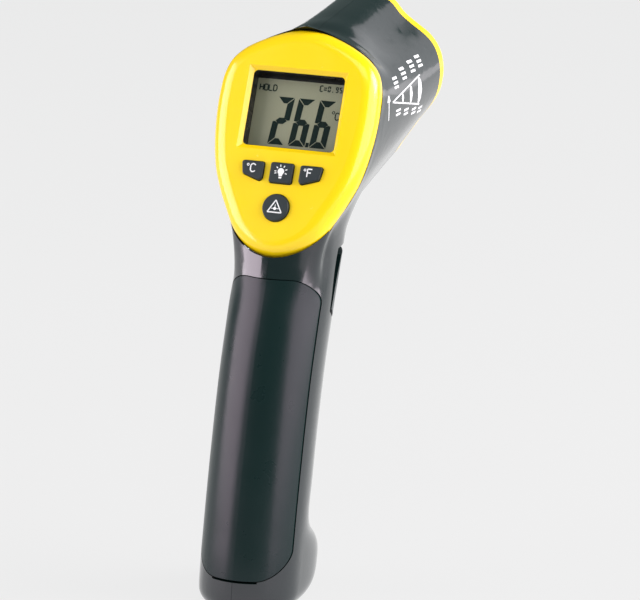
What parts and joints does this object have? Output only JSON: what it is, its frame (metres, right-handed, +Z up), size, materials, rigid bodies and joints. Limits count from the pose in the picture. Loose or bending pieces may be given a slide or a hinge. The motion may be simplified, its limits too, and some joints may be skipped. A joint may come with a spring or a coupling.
{
  "type": "infrared thermometer",
  "caption": "Pistol-grip infrared thermometer with a tilted display cover, four keys, a long finger trigger, a hinged battery door and a lens ring at the front.",
  "frame": {"origin": "on the flat butt face of the grip, on the grip axis", "axes": "+Z up along the grip, +Y the way the lens points, +X to the right of the person aiming"},
  "size_m": [0.0572, 0.1184, 0.1928],
  "materials": {
    "housing_black": "glossy moulded ABS",
    "cover_yellow": "glossy moulded ABS",
    "door_black": "satin moulded ABS",
    "trigger_black": "satin moulded ABS",
    "key_black": "satin silicone",
    "window_clear": "clear acrylic",
    "lcd_grey": "liquid crystal cell",
    "guide_white": "diffuser",
    "strip_grey": "conductive rubber",
    "board_green": "glass-epoxy board",
    "switch_black": "moulded",
    "chip_black": "moulded package",
    "steel": "plain",
    "pin_steel": "ground pin",
    "brass": "turned",
    "alu_black": "black anodised",
    "lens_dark": "coated infrared lens",
    "laser_glass": "tinted window",
    "o_ring_black": "nitrile",
    "battery_case": "lacquered steel can",
    "snap_black": "moulded",
    "lead_red": "insulated lead",
    "lead_black": "insulated lead"
  },
  "bodies": {
    "housing": {"housing_right": "housing_black", "housing_left": "housing_black", "housing_screws": "steel", "display_cover": "cover_yellow", "display_window": "window_clear", "lcd_glass": "lcd_grey", "backlight_guide": "guide_white", "elastomer_strips": "strip_grey", "main_board": "board_green", "board_screws": "steel", "tact_switches": "switch_black", "controller_chip": "chip_black", "buzzer": "chip_black", "front_ring": "cover_yellow", "front_plate": "trigger_black", "optics_barrel": "alu_black", "lens_o_ring": "o_ring_black", "ir_lens": "lens_dark", "lens_ring": "alu_black", "thermopile": "pin_steel", "sensor_board": "board_green", "laser_module": "brass", "laser_window": "laser_glass", "laser_clip": "switch_black", "trigger_pin": "pin_steel", "trigger_spring": "steel", "trigger_switch": "switch_black", "switch_board": "board_green", "door_pin": "pin_steel", "battery_9v": "battery_case", "battery_snap": "snap_black", "battery_tray": "switch_black", "battery_lead_red": "lead_red", "battery_lead_black": "lead_black"},
    "celsius_key": {"key_celsius": "key_black", "plunger_celsius": "switch_black"},
    "backlight_key": {"key_backlight": "key_black", "plunger_backlight": "switch_black"},
    "fahrenheit_key": {"key_fahrenheit": "key_black", "plunger_fahrenheit": "switch_black"},
    "laser_key": {"key_laser": "key_black", "plunger_laser": "switch_black"},
    "trigger": {"trigger": "trigger_black"},
    "battery_door": {"battery_door": "door_black"}
  },
  "joints": [
    {"name": "celsius_press", "type": "slide", "parent": "housing", "child": "celsius_key", "axis": [0, 0.9205, -0.3907], "range_m": [0, 0.001], "stiffness_N_per_m": 900, "springref_m": -0.0005},
    {"name": "backlight_press", "type": "slide", "parent": "housing", "child": "backlight_key", "axis": [0, 0.9205, -0.3907], "range_m": [0, 0.001], "stiffness_N_per_m": 900, "springref_m": -0.0005},
    {"name": "fahrenheit_press", "type": "slide", "parent": "housing", "child": "fahrenheit_key", "axis": [0, 0.9205, -0.3907], "range_m": [0, 0.001], "stiffness_N_per_m": 900, "springref_m": -0.0005},
    {"name": "laser_press", "type": "slide", "parent": "housing", "child": "laser_key", "axis": [0, 0.9205, -0.3907], "range_m": [0, 0.001], "stiffness_N_per_m": 900, "springref_m": -0.0005},
    {"name": "trigger_pull", "type": "hinge", "parent": "housing", "child": "trigger", "pos_m": [0, 0.0322, 0.08633], "axis": [1, 0, 0], "range_deg": [0, 7.5], "stiffness_Nm_per_rad": 0.6, "springref_deg": -2.86},
    {"name": "door_swing", "type": "hinge", "parent": "housing", "child": "battery_door", "pos_m": [0, -0.0103, 0.017], "axis": [1, 0, 0], "range_deg": [0, 90]}
  ]
}
